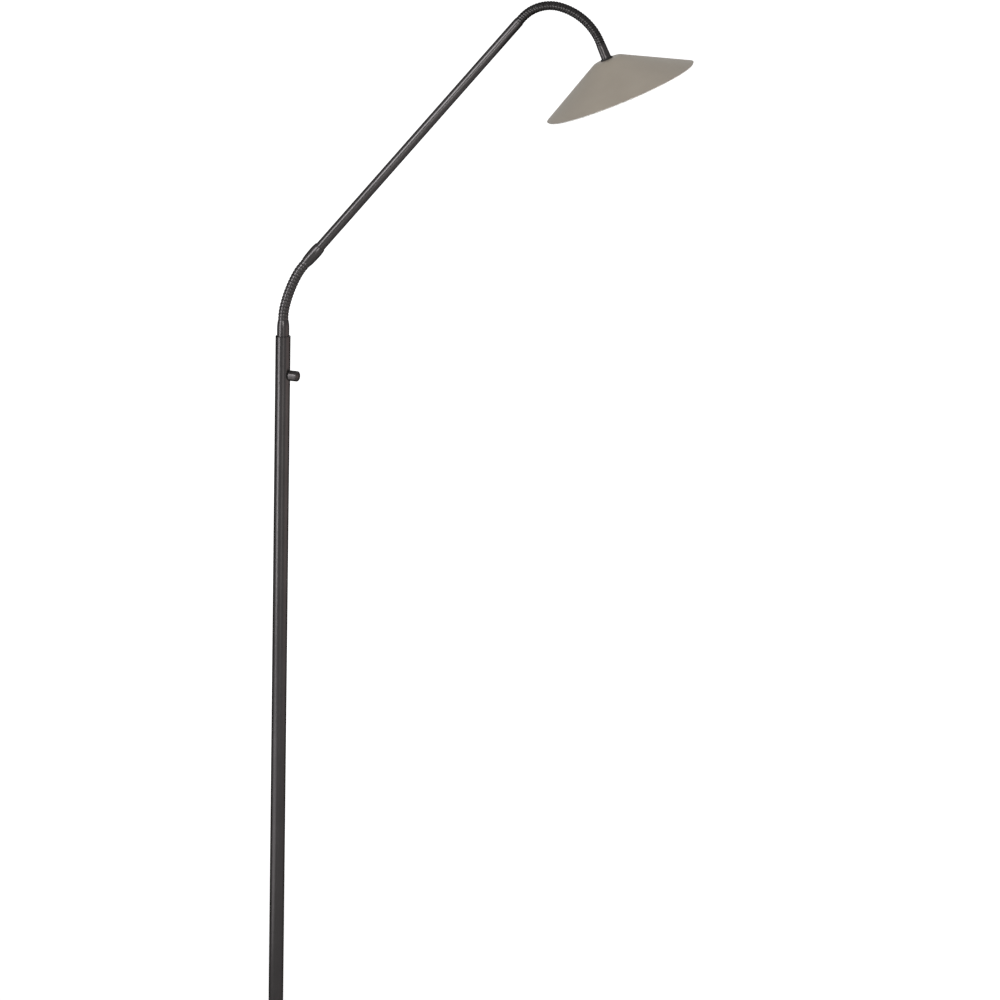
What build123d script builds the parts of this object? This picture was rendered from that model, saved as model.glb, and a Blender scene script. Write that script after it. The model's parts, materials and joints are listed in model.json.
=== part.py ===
from build123d import *
import math
import os
from collections import namedtuple

# A reading floor lamp: a round foot, an upright pole with a dimmer knob, a short flexible neck,
# a slim arm, a longer flexible neck and a shallow cone shade with a light module inside.
# Lengths are in millimetres and angles in degrees. The origin is on the floor, on the pole's axis.
# +Z is up and the arm leans towards +X.

# Foot
base_diameter = 260.0
base_thickness = 10.0
base_top_rounding = 3.0
base_lower_chamfer = 1.0
pad_thickness = 2.0
pad_margin = 5.0
bolt_diameter = 8.0
bolt_head_width = 13.0
bolt_head_height = 5.0
bolt_reach = 18.0
bolt_recess_diameter = 26.0
bolt_recess_depth = 7.4
washer_diameter = 24.0
washer_thickness = 1.6
foot_plug_length = 26.0

# Pole
pole_top_height = 1045.0
pole_diameter = 20.0
pole_wall = 1.5
grommet_height = 48.0
grommet_hole_diameter = 9.0
grommet_flange_diameter = 12.4
grommet_flange_thickness = 1.3
cord_diameter = 5.6
top_bush_length = 22.0

# Dimmer, its knob pointing part of the way towards the front
dimmer_drop = 52.6
dimmer_azimuth = -20.0
dimmer_body_width = 10.6
dimmer_body_height = 15.0
dimmer_body_depth = 11.0
dimmer_seat_diameter = 10.0
dimmer_bushing_diameter = 7.0
dimmer_bushing_reach = 3.0
dimmer_shaft_diameter = 6.0
dimmer_shaft_reach = 10.4
dimmer_shaft_depth = 8.0
nut_width = 9.0
nut_thickness = 2.4
knob_diameter = 14.0
knob_length = 12.7
knob_gap = 0.6
knob_edge = 1.6
knob_dome = 0.7
knob_recess_diameter = 11.2
knob_recess_depth = 3.4

# Lower neck and its collars
lower_collar_base_diameter = 16.3
lower_collar_straight = 10.8
lower_collar_height = 22.3
lower_collar_shank_diameter = 12.0
lower_collar_shank_length = 16.0
lower_neck_diameter = 13.4
lower_neck_pitch = 4.47
lower_neck_rib_width = 3.1
lower_neck_ball_diameter = 7.2
lower_neck_cup_wall = 1.05
lower_neck_bore = 4.0
lower_neck_spigot = 8.0
lower_neck_links = 8
lower_neck_bend = 39.9
lower_neck_end_bend = 6.25
lower_neck_end_joints = 2

# Arm
arm_collar_length = 30.0
arm_collar_start_diameter = 14.5
arm_collar_swell_diameter = 16.4
arm_collar_end_diameter = 14.5
arm_collar_swell_share = 0.64
arm_diameter = 13.0
arm_wall = 1.0
arm_length = 397.7
arm_insert = 12.0

# Upper neck
upper_neck_diameter = 11.8
upper_neck_pitch = 3.57
upper_neck_rib_width = 2.4
upper_neck_ball_diameter = 6.2
upper_neck_cup_wall = 1.0
upper_neck_bore = 3.2
upper_neck_spigot = 9.0
upper_neck_links = 17
upper_neck_first_bend = 5.95
upper_neck_tight_bend = 8.35
upper_neck_tight_joints = 7
upper_neck_gentle_bend = 5.2

# Lead that runs through the pole, the necks and the arm
lead_diameter = 2.8
lead_bend_radius = 9.0

# Head
head_collar_length = 18.0
head_collar_start_diameter = 12.2
head_collar_end_diameter = 13.2
nipple_diameter = 8.0
nipple_bore = 4.0
nipple_reach = 13.0
gasket_diameter = 16.4
gasket_thickness = 2.0
shade_diameter = 205.0
shade_top_diameter = 28.0
shade_slope = 28.2
shade_shoulder_radius = 7.0
shade_wall = 1.0
liner_wall = 1.2
liner_lip = 1.6
liner_lip_inset = 0.4
shade_nut_width = 13.0
shade_nut_thickness = 3.0
shade_washer_diameter = 16.0
shade_washer_thickness = 1.0
sink_boss_diameter = 20.0
sink_boss_length = 6.0
sink_diameter = 56.0
sink_thickness = 2.4
sink_lightening_holes = 8
sink_lightening_diameter = 6.0
board_diameter = 50.0
board_thickness = 1.2
board_opening_diameter = 12.0
chip_size = 3.5
chip_height = 0.8
chip_count = 16
chip_circle_diameter = 34.0
screw_circle_diameter = 42.0
screw_count = 4
screw_diameter = 3.0
screw_head_diameter = 5.2
screw_head_height = 1.4
screw_reach = 3.0
diffuser_wall = 1.4
diffuser_height = 9.0
diffuser_rounding = 4.0

# Fits shared by all pieces
press_gap = 0.05
running_gap = 0.1
loose_gap = 0.2
liner_gap = 0.1
overrun = 2.0

# Joints of the necks: the swing each one leaves room for, and how far a cup reaches over its ball
neck_swing = 12.0
neck_swing_gap = 0.2
neck_cup_lip = 0.5
neck_ball_rim = 0.6
neck_spigot_shoulder = 0.4


# Shared helpers

def degrees_cos(angle):
    return math.cos(math.radians(angle))


def degrees_sin(angle):
    return math.sin(math.radians(angle))


def other_side(radius, offset):
    # the second leg of a right triangle whose long side is the radius
    return math.sqrt(radius ** 2 - offset ** 2)


def turned(*edges):
    # a profile of radius and height, turned about the Z axis
    return revolve(Plane.XZ * make_face(edges), Axis.Z)


def turned_outline(*points):
    return turned(Polyline(*points, close=True))


def tube(outer_diameter, inner_diameter, low, high):
    outer, inner = outer_diameter / 2, inner_diameter / 2
    return turned_outline((inner, low), (outer, low), (outer, high), (inner, high))


def rod(diameter, low, high):
    return turned_outline((0, low), (diameter / 2, low), (diameter / 2, high), (0, high))


def hexagon(width, low, high):
    return Plane.XY.offset(low) * extrude(RegularPolygon(width / 2, 6, major_radius=False), high - low)


def around(circle_diameter, count, shape, start=0):
    # copies of a shape set on a circle about the Z axis
    return [Rot(Z=start + 360 * i / count) * Pos(X=circle_diameter / 2) * shape for i in range(count)]


# Places along the lamp are kept as x, z and the direction that the neck or arm points in

def ahead(place, length, bend=0):
    x, z, heading = place
    return (x + length * degrees_cos(heading), z + length * degrees_sin(heading), heading - bend)


def frame_at(place):
    x, z, heading = place
    return Plane(origin=(x, 0, z), x_dir=(0, 1, 0), z_dir=(degrees_cos(heading), 0, degrees_sin(heading)))


# Foot: a steel disc on a soft pad, bolted up into a plug in the pole

base_underside = pad_thickness
base_top = base_underside + base_thickness
bolt_seat = base_underside + bolt_recess_depth
washer_low = bolt_seat - washer_thickness


def base_disc():
    outer, recess, hole = base_diameter / 2, bolt_recess_diameter / 2, bolt_diameter / 2 + loose_gap
    body = turned_outline((hole, bolt_seat), (recess, bolt_seat), (recess, base_underside),
                          (outer, base_underside), (outer, base_top), (hole, base_top))
    rim = body.edges().filter_by(GeomType.CIRCLE).sort_by(lambda edge: edge.radius)[-2:].sort_by(Axis.Z)
    body = fillet(rim[-1], base_top_rounding)
    rim = body.edges().filter_by(GeomType.CIRCLE).group_by(Axis.Z)[0].sort_by(lambda edge: edge.radius)
    return chamfer(rim[-1], base_lower_chamfer)


def base_pad():
    return rod(base_diameter - 2 * pad_margin, 0, pad_thickness)


def base_bolt():
    head_low = washer_low - bolt_head_height
    head = hexagon(bolt_head_width, head_low, washer_low)
    shank_top = base_top + bolt_reach
    return head + rod(bolt_diameter, washer_low, shank_top)


def base_washer():
    return tube(washer_diameter, bolt_diameter + 2 * loose_gap, washer_low, bolt_seat)


def pole_foot_plug():
    plug = tube(pole_bore - 2 * press_gap, bolt_diameter + 2 * running_gap, base_top, base_top + foot_plug_length)
    return chamfer(plug.edges().filter_by(GeomType.CIRCLE).group_by(Axis.Z)[-1].sort_by(
        lambda edge: edge.radius)[-1], pole_wall / 2)


# Pole, with its cord outlet low at the back and its dimmer near the top

pole_bore = pole_diameter - 2 * pole_wall
cord_outlet_height = base_top + grommet_height
dimmer_height = pole_top_height - dimmer_drop
dimmer_frame = Plane(origin=(0, 0, dimmer_height), x_dir=(0, 0, 1),
                     z_dir=(degrees_cos(dimmer_azimuth), degrees_sin(dimmer_azimuth), 0))
outlet_frame = Plane(origin=(0, 0, cord_outlet_height), x_dir=(0, 0, 1), z_dir=(-1, 0, 0))


def pole_tube():
    wall = tube(pole_diameter, pole_bore, base_top, pole_top_height)
    reach = pole_diameter / 2 + overrun
    wall -= outlet_frame * rod(grommet_hole_diameter, 0, reach)
    wall -= dimmer_frame * rod(dimmer_bushing_diameter + 2 * loose_gap, 0, reach)
    return wall


def cable_grommet():
    # a rubber ring whose two flanges follow the round wall of the pole
    outside, inside = pole_diameter / 2 + press_gap, pole_bore / 2 - press_gap
    outer_end = outside + grommet_flange_thickness
    inner_end = inside - 2 * grommet_flange_thickness
    around_pole = Pos(Z=cord_outlet_height) * Cylinder(outside, 2 * grommet_flange_diameter)
    within_pole = Pos(Z=cord_outlet_height) * Cylinder(inside, 2 * grommet_flange_diameter)
    outer_flange = outlet_frame * rod(grommet_flange_diameter, inner_end, outer_end) - around_pole
    inner_flange = (outlet_frame * rod(grommet_flange_diameter - grommet_flange_thickness, inner_end, outer_end)
                    & within_pole)
    core = outlet_frame * rod(grommet_hole_diameter - 2 * press_gap, inner_end, outer_end)
    hole = outlet_frame * rod(cord_diameter, inner_end - overrun, outer_end + overrun)
    return core + outer_flange + inner_flange - hole


def pole_top_bush():
    return tube(pole_bore - 2 * press_gap, lower_collar_shank_diameter + 2 * press_gap,
                pole_top_height - top_bush_length, pole_top_height)


# Dimmer: its body seats inside the wall, its nut outside, hidden in the knob's recess

dimmer_front = other_side(pole_bore / 2 - running_gap, dimmer_body_width / 2)
bushing_end = pole_diameter / 2 + dimmer_bushing_reach
knob_back = pole_diameter / 2 + knob_gap


def dimmer_body():
    box = Box(dimmer_body_height, dimmer_body_width, dimmer_body_depth,
              align=(Align.CENTER, Align.CENTER, Align.MAX))
    body = dimmer_frame.offset(dimmer_front) * box
    seat = dimmer_frame * rod(dimmer_seat_diameter, 0, pole_diameter / 2)
    within_pole = Pos(Z=dimmer_height) * Cylinder(pole_bore / 2 - press_gap, 2 * dimmer_body_height)
    bushing = dimmer_frame * rod(dimmer_bushing_diameter, 0, bushing_end)
    shaft_low = dimmer_front - dimmer_shaft_depth
    bore = dimmer_frame * rod(dimmer_shaft_diameter + 2 * running_gap, shaft_low, bushing_end + overrun)
    return body + (seat & within_pole) + bushing - bore


def dimmer_nut():
    low = pole_diameter / 2 + press_gap
    nut = hexagon(nut_width, low, low + nut_thickness)
    nut -= rod(dimmer_bushing_diameter + 2 * press_gap, low - overrun, low + nut_thickness + overrun)
    return dimmer_frame * nut


def dimmer_shaft():
    low = dimmer_front - dimmer_shaft_depth + loose_gap
    return dimmer_frame * rod(dimmer_shaft_diameter, low, knob_back + dimmer_shaft_reach)


def dimmer_knob():
    # a plain round knob with a bevelled edge and a slightly domed end
    outer, end = knob_diameter / 2, knob_back + knob_length
    recess, hole = knob_recess_diameter / 2, dimmer_shaft_diameter / 2 + press_gap
    recess_end = knob_back + knob_recess_depth
    hole_end = knob_back + dimmer_shaft_reach + press_gap
    shoulder = (outer, end - knob_dome - knob_edge)
    face_edge = (outer - knob_edge, end - knob_dome)
    bevel_middle = (outer - knob_edge * (1 - degrees_cos(45)), end - knob_dome - knob_edge * (1 - degrees_sin(45)))
    dome_radius = (face_edge[0] ** 2 + knob_dome ** 2) / (2 * knob_dome)
    dome_half = math.asin(face_edge[0] / dome_radius) / 2
    dome_middle = (dome_radius * math.sin(dome_half), end - dome_radius * (1 - math.cos(dome_half)))
    return dimmer_frame * turned(
        Polyline((0, end), (0, hole_end), (hole, hole_end), (hole, recess_end), (recess, recess_end),
                 (recess, knob_back), (outer, knob_back), shoulder),
        ThreePointArc(shoulder, bevel_middle, face_edge),
        ThreePointArc(face_edge, dome_middle, (0, end)))


# Necks: chains of equal two-rib links, each with a ball that turns in the next link's cup

Neck = namedtuple("Neck", "diameter pitch rib_width ball_diameter cup_wall bore")
lower_neck = Neck(lower_neck_diameter, lower_neck_pitch, lower_neck_rib_width,
                  lower_neck_ball_diameter, lower_neck_cup_wall, lower_neck_bore)
upper_neck = Neck(upper_neck_diameter, upper_neck_pitch, upper_neck_rib_width,
                  upper_neck_ball_diameter, upper_neck_cup_wall, upper_neck_bore)
link_ribs = 2


def neck_core(neck):
    # the radius at the bottom of the grooves
    return neck.ball_diameter / 2 + loose_gap + neck.cup_wall


def rib_edges(neck, count):
    # half-round ribs with a groove of half the gap left at each end
    core, crown, half = neck_core(neck), neck.diameter / 2, neck.rib_width / 2
    shoulder = crown - half
    edges = []
    for i in range(count):
        middle = (i + 1 / 2) * neck.pitch
        start, end = (shoulder, middle - half), (shoulder, middle + half)
        edges += [Line((core, middle - half), start), ThreePointArc(start, (crown, middle), end)]
        if i < count - 1:
            edges += [Polyline(end, (core, middle + half), (core, middle + neck.pitch - half))]
    return edges, end


def neck_piece(neck, ribs, spigot_before=None, spigot_after=None):
    # starts with a cup and ends with a ball, or has a spigot, given by its diameter and length, instead
    core, bore = neck_core(neck), neck.bore / 2
    ball, cavity = neck.ball_diameter / 2, neck.ball_diameter / 2 + loose_gap
    length = ribs * neck.pitch
    first_flank = (neck.pitch - neck.rib_width) / 2
    edges, last = rib_edges(neck, ribs)

    if spigot_before:
        radius, reach = spigot_before[0] / 2, spigot_before[1]
        inner_start = (bore, -reach)
        edges += [Polyline(inner_start, (radius, -reach), (radius, 0), (core, 0), (core, first_flank))]
    else:
        rim = (other_side(cavity, neck_cup_lip), -neck_cup_lip)
        inner_start = (bore, other_side(cavity, bore))
        edges += [ThreePointArc(inner_start, (cavity, 0), rim),
                  Polyline(rim, (core, -neck_cup_lip), (core, first_flank))]

    if spigot_after:
        radius, reach = spigot_after[0] / 2, spigot_after[1]
        inner_end = (bore, length + reach)
        edges += [Polyline(last, (core, last[1]), (core, length), (radius, length),
                           (radius, length + reach), inner_end)]
    else:
        depth = neck_cup_lip + core * degrees_sin(neck_swing) + neck_swing_gap
        recess = math.hypot(core, neck_cup_lip) + neck_swing_gap
        floor = length - depth
        ball_root = (other_side(ball, depth), floor)
        ball_rim = (bore + neck_ball_rim, length + other_side(ball, bore + neck_ball_rim))
        inner_end = (bore, ball_rim[1])
        edges += [Polyline(last, (recess, last[1]), (recess, floor), ball_root),
                  ThreePointArc(ball_root, (ball, length), ball_rim), Line(ball_rim, inner_end)]

    edges += [Line(inner_end, inner_start)]
    return turned(*edges)


# Where each neck joint lies, from the pole's top to the shade

lower_middle_joints = lower_neck_links + 1 - 2 * lower_neck_end_joints
lower_middle_bend = (lower_neck_bend - 2 * lower_neck_end_joints * lower_neck_end_bend) / lower_middle_joints
lower_end_bends = [lower_neck_end_bend] * lower_neck_end_joints
lower_joint_bends = lower_end_bends + [lower_middle_bend] * lower_middle_joints + lower_end_bends
upper_joint_bends = ([upper_neck_first_bend] + [upper_neck_tight_bend] * upper_neck_tight_joints
                     + [upper_neck_gentle_bend] * (upper_neck_links - upper_neck_tight_joints))

lower_root_place = (0, pole_top_height + lower_collar_height, 90)
lower_joints = [ahead(lower_root_place, lower_neck_pitch, lower_joint_bends[0])]
for bend in lower_joint_bends[1:]:
    lower_joints.append(ahead(lower_joints[-1], link_ribs * lower_neck_pitch, bend))
arm_collar_place = ahead(lower_joints[-1], link_ribs * lower_neck_pitch)
arm_place = ahead(arm_collar_place, arm_collar_length)
upper_root_place = ahead(arm_place, arm_length)
upper_joints = [ahead(upper_root_place, link_ribs * upper_neck_pitch, upper_joint_bends[0])]
for bend in upper_joint_bends[1:]:
    upper_joints.append(ahead(upper_joints[-1], link_ribs * upper_neck_pitch, bend))
head_place = ahead(upper_joints[-1], link_ribs * upper_neck_pitch)

lower_spigot_diameter = 2 * (neck_core(lower_neck) + neck_spigot_shoulder)
lower_socket_diameter = lower_spigot_diameter + 2 * press_gap
upper_spigot_diameter = arm_diameter - 2 * arm_wall - 2 * press_gap
head_spigot_diameter = 2 * (neck_core(upper_neck) + neck_spigot_shoulder)


# Collars that grip the lower neck

def lower_collar():
    # a straight foot that draws in along one arc to the neck
    base = lower_collar_base_diameter / 2
    shank = lower_collar_shank_diameter / 2
    top = lower_neck_diameter / 2 + running_gap
    socket, bore = lower_socket_diameter / 2, lower_neck_bore / 2
    socket_floor = lower_collar_height - lower_neck_spigot - running_gap
    rise = lower_collar_height - lower_collar_straight
    half_turn = math.atan2(base - top, rise) / 2
    middle = (base - rise * math.tan(half_turn) / 2, lower_collar_straight + rise / 2)
    outline = Polyline((bore, -lower_collar_shank_length), (shank, -lower_collar_shank_length), (shank, 0),
                       (base, 0), (base, lower_collar_straight))
    inside = Polyline((top, lower_collar_height), (socket, lower_collar_height), (socket, socket_floor),
                      (bore, socket_floor), (bore, -lower_collar_shank_length))
    taper = ThreePointArc((base, lower_collar_straight), middle, (top, lower_collar_height))
    return Pos(Z=pole_top_height) * turned(outline, taper, inside)


def arm_collar():
    # a barrel that swells from the neck and rounds off over the arm's end
    start, swell, end = (diameter / 2 for diameter in (
        arm_collar_start_diameter, arm_collar_swell_diameter, arm_collar_end_diameter))
    peak = arm_collar_length * arm_collar_swell_share
    rest = arm_collar_length - peak
    socket, bore, seat = lower_socket_diameter / 2, lower_neck_bore / 2, arm_diameter / 2 + press_gap
    socket_floor = lower_neck_spigot + running_gap
    seat_floor = arm_collar_length - arm_insert - running_gap
    rising_middle = (start + 3 * (swell - start) / 4, peak / 2)
    falling_middle = (end + 3 * (swell - end) / 4, peak + rest / 2)
    return frame_at(arm_collar_place) * turned(
        ThreePointArc((start, 0), rising_middle, (swell, peak)),
        ThreePointArc((swell, peak), falling_middle, (end, arm_collar_length)),
        Polyline((end, arm_collar_length), (seat, arm_collar_length), (seat, seat_floor), (bore, seat_floor),
                 (bore, socket_floor), (socket, socket_floor), (socket, 0), (start, 0)))


def arm_tube():
    return frame_at(arm_place) * tube(arm_diameter, arm_diameter - 2 * arm_wall, -arm_insert, arm_length)


# Lead: the cord inside the pole, and the thinner lead from the dimmer up to the light

dimmer_body_top = dimmer_height + dimmer_body_height / 2
dimmer_body_foot = dimmer_height - dimmer_body_height / 2


def bent_lead(diameter, points, radius):
    path = FilletPolyline(*points, radius=radius)
    start = Plane(origin=path @ 0, z_dir=path % 0)
    return sweep(start * Circle(diameter / 2), path=path)


def pole_cord():
    inner_end = -(pole_bore / 2 - press_gap - 2 * grommet_flange_thickness)
    along = -(pole_bore - cord_diameter) / 2 + lead_bend_radius
    top = dimmer_body_foot - running_gap
    return bent_lead(cord_diameter - 2 * running_gap,
                     [(inner_end, 0, cord_outlet_height), (along, 0, cord_outlet_height), (along, 0, top)],
                     lead_bend_radius - cord_diameter / 2)


def dimmer_lead():
    collar_socket_floor = pole_top_height + lower_collar_height - lower_neck_spigot
    return Pos(Z=dimmer_body_top + running_gap) * rod(
        lead_diameter, 0, collar_socket_floor + lower_neck_spigot / 2 - dimmer_body_top)


def arm_lead():
    # from the socket of the lower neck to the spigot of the upper one
    low = -arm_collar_length + lower_neck_spigot / 2
    return frame_at(arm_place) * rod(lead_diameter, low, arm_length - upper_neck_spigot / 2)


# Head: collar, gasket, shade, white liner and light module, stacked on a hollow nipple

gasket_low = head_collar_length
shade_flat = gasket_low + gasket_thickness
shade_height = (shade_diameter - shade_top_diameter) / 2 * math.tan(math.radians(shade_slope))
shade_rim = shade_flat + shade_height
liner_outside = shade_wall + liner_gap
liner_inside = liner_outside + liner_wall
washer_seat = shade_flat + liner_inside
nut_seat = washer_seat + shade_washer_thickness
sink_seat = nut_seat + shade_nut_thickness
sink_plate_low = sink_seat + sink_boss_length
board_seat = sink_plate_low + sink_thickness
chip_seat = board_seat + board_thickness
nipple_hole = nipple_diameter + 2 * running_gap


def cone_profile(depth, hole_radius):
    # the shade's outline taken in by a depth, from the hole in its flat top to its rim
    edge = shade_top_diameter / 2 - depth * math.tan(math.radians(shade_slope / 2))
    rim = shade_diameter / 2 - depth / degrees_sin(shade_slope)
    points = [(hole_radius, shade_flat + depth), (edge, shade_flat + depth), (rim, shade_rim)]
    return FilletPolyline(*points, radius=max(shade_shoulder_radius - depth, shade_wall)), points[0], points[-1]


def head_collar():
    start, end = head_collar_start_diameter / 2, head_collar_end_diameter / 2
    socket, bore = head_spigot_diameter / 2 + press_gap, nipple_bore / 2
    nipple, nipple_end = nipple_diameter / 2, shade_flat + nipple_reach
    socket_floor = upper_neck_spigot + running_gap
    return frame_at(head_place) * turned_outline(
        (socket, 0), (start, 0), (end, head_collar_length), (nipple, head_collar_length),
        (nipple, nipple_end), (bore, nipple_end), (bore, socket_floor), (socket, socket_floor))


def shade_gasket():
    ring = tube(gasket_diameter, nipple_hole, gasket_low, shade_flat)
    rims = ring.edges().filter_by(GeomType.CIRCLE).sort_by(lambda edge: edge.radius)[-2:]
    return frame_at(head_place) * fillet(rims, gasket_thickness / 4)


def shade_shell():
    outside, top_outer, rim_outer = cone_profile(0, nipple_hole / 2)
    inside, top_inner, rim_inner = cone_profile(shade_wall, nipple_hole / 2)
    return frame_at(head_place) * turned(outside, Line(rim_outer, rim_inner), inside, Line(top_inner, top_outer))


def shade_liner():
    # white inside, with a lip that shows as a thin line below the shade's rim
    outside, top_outer, rim_outer = cone_profile(liner_outside, nipple_hole / 2)
    inside, top_inner, rim_inner = cone_profile(liner_inside, nipple_hole / 2)
    lip_outer, lip_end = shade_diameter / 2 - liner_lip_inset, shade_rim + liner_lip
    return frame_at(head_place) * turned(
        outside,
        Polyline(rim_outer, (lip_outer, shade_rim), (lip_outer, lip_end), (rim_inner[0], lip_end), rim_inner),
        inside, Line(top_inner, top_outer))


def shade_washer():
    return frame_at(head_place) * tube(shade_washer_diameter, nipple_hole, washer_seat, nut_seat)


def shade_nut():
    nut = hexagon(shade_nut_width, nut_seat, sink_seat)
    return frame_at(head_place) * (nut - rod(nipple_diameter + 2 * press_gap, nut_seat - overrun, sink_seat + overrun))


def screw_holes(diameter, low, high):
    return around(screw_circle_diameter, screw_count, rod(diameter, low, high))


def heat_sink():
    boss, plate, hole = sink_boss_diameter / 2, sink_diameter / 2, nipple_diameter / 2 + press_gap
    body = turned_outline((hole, sink_seat), (boss, sink_seat), (boss, sink_plate_low), (plate, sink_plate_low),
                          (plate, board_seat), (hole, board_seat))
    vent_circle = (sink_boss_diameter + board_diameter) / 2
    vents = around(vent_circle, sink_lightening_holes,
                   rod(sink_lightening_diameter, sink_plate_low - overrun, board_seat + overrun))
    holes = screw_holes(screw_diameter + 2 * press_gap, chip_seat - screw_reach - running_gap, chip_seat)
    for cut in vents + holes:
        body -= cut
    return frame_at(head_place) * body


def led_board():
    board = tube(board_diameter, board_opening_diameter, board_seat, chip_seat)
    for hole in screw_holes(screw_diameter + 2 * running_gap, board_seat - overrun, chip_seat + overrun):
        board -= hole
    return frame_at(head_place) * board


def led_chips():
    chip = Pos(Z=chip_seat) * Box(chip_size, chip_size, chip_height, align=(Align.CENTER, Align.CENTER, Align.MIN))
    return frame_at(head_place) * Compound(children=around(chip_circle_diameter, chip_count, chip, 180 / chip_count))


def board_screws():
    head = rod(screw_head_diameter, chip_seat, chip_seat + screw_head_height)
    screw = head + rod(screw_diameter, chip_seat - screw_reach, chip_seat)
    return frame_at(head_place) * Compound(children=around(screw_circle_diameter, screw_count, screw))


def light_diffuser():
    # an opal dish whose wall sits round the heat sink's plate
    inner = sink_diameter / 2 + press_gap
    outer = inner + diffuser_wall
    end = board_seat + diffuser_height
    outside = FilletPolyline((outer, sink_plate_low), (outer, end), (0, end), radius=diffuser_rounding)
    inside = FilletPolyline((inner, sink_plate_low), (inner, end - diffuser_wall), (0, end - diffuser_wall),
                            radius=diffuser_rounding - diffuser_wall)
    return frame_at(head_place) * turned(
        outside, Line((0, end), (0, end - diffuser_wall)), inside,
        Line((inner, sink_plate_low), (outer, sink_plate_low)))


# All pieces by name

pieces = {
    "base_disc": base_disc(),
    "base_pad": base_pad(),
    "base_bolt": base_bolt(),
    "base_washer": base_washer(),
    "pole_foot_plug": pole_foot_plug(),
    "pole_tube": pole_tube(),
    "cable_grommet": cable_grommet(),
    "pole_cord": pole_cord(),
    "pole_top_bush": pole_top_bush(),
    "dimmer_body": dimmer_body(),
    "dimmer_nut": dimmer_nut(),
    "dimmer_lead": dimmer_lead(),
    "dimmer_shaft": dimmer_shaft(),
    "dimmer_knob": dimmer_knob(),
    "lower_collar": lower_collar(),
    "lower_neck_root": frame_at(lower_root_place) * neck_piece(
        lower_neck, 1, spigot_before=(lower_spigot_diameter, lower_neck_spigot)),
    "lower_neck_tip": frame_at(lower_joints[-1]) * neck_piece(
        lower_neck, link_ribs, spigot_after=(lower_spigot_diameter, lower_neck_spigot)),
    "arm_collar": arm_collar(),
    "arm_tube": arm_tube(),
    "arm_lead": arm_lead(),
    "upper_neck_root": frame_at(upper_root_place) * neck_piece(
        upper_neck, link_ribs, spigot_before=(upper_spigot_diameter, upper_neck_spigot)),
    "upper_neck_tip": frame_at(upper_joints[-1]) * neck_piece(
        upper_neck, link_ribs, spigot_after=(head_spigot_diameter, upper_neck_spigot)),
    "head_collar": head_collar(),
    "shade_gasket": shade_gasket(),
    "shade_shell": shade_shell(),
    "shade_liner": shade_liner(),
    "shade_washer": shade_washer(),
    "shade_nut": shade_nut(),
    "heat_sink": heat_sink(),
    "led_board": led_board(),
    "led_chips": led_chips(),
    "board_screws": board_screws(),
    "light_diffuser": light_diffuser(),
}
for name, neck, joints in (("lower_link", lower_neck, lower_joints), ("upper_link", upper_neck, upper_joints)):
    link = neck_piece(neck, link_ribs)
    for number, place in enumerate(joints[:-1], start=1):
        pieces[f"{name}_{number:02d}"] = frame_at(place) * link

os.makedirs("parts", exist_ok=True)
for name, piece in pieces.items():
    export_step(piece, f"parts/{name}.step")
print(len(pieces), "pieces, overall height", round(Compound(children=list(pieces.values())).bounding_box().max.Z, 1))
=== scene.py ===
import json
import math

import bmesh
import bpy
from mathutils import Matrix, Vector

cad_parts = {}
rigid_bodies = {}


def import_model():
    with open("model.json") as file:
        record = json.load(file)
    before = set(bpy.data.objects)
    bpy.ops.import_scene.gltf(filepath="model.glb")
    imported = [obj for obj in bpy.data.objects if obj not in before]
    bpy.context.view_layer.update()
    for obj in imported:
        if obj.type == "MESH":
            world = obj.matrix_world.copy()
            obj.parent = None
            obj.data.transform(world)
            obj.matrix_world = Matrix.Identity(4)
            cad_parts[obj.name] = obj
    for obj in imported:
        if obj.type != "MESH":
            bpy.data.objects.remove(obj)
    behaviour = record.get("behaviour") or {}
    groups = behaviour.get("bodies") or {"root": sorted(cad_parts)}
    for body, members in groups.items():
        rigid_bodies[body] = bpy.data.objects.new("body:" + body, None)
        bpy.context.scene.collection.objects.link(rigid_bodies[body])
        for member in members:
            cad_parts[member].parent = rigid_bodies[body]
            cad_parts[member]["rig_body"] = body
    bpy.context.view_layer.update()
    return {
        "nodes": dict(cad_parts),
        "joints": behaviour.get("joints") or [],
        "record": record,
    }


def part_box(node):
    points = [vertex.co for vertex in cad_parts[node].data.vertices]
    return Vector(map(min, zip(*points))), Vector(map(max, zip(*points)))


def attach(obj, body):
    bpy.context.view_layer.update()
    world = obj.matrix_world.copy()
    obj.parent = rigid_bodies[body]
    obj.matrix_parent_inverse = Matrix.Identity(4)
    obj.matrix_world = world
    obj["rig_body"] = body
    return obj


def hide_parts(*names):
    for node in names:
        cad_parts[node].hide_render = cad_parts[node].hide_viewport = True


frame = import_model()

# Reading floor lamp: the looks of every piece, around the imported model.
# Sizes in the dictionaries are millimetres, and angles are degrees.

mm = 0.001
nodes = frame["nodes"]
joints = {joint["name"]: joint for joint in frame["joints"]}
scene = bpy.context.scene
sideways = Vector((0, 1, 0))
upwards = Vector((0, 0, 1))


# Camera: the photo's viewing angle, from the front, a little from above

cameraValues = {"lens": 190.8, "sensor": 36, "place": (0.678, -6.8482, 2.4771),
                "turnLeft": 3.2242, "lookDown": 13.49, "roll": 1.193, "clip": (0.1, 100)}


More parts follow.
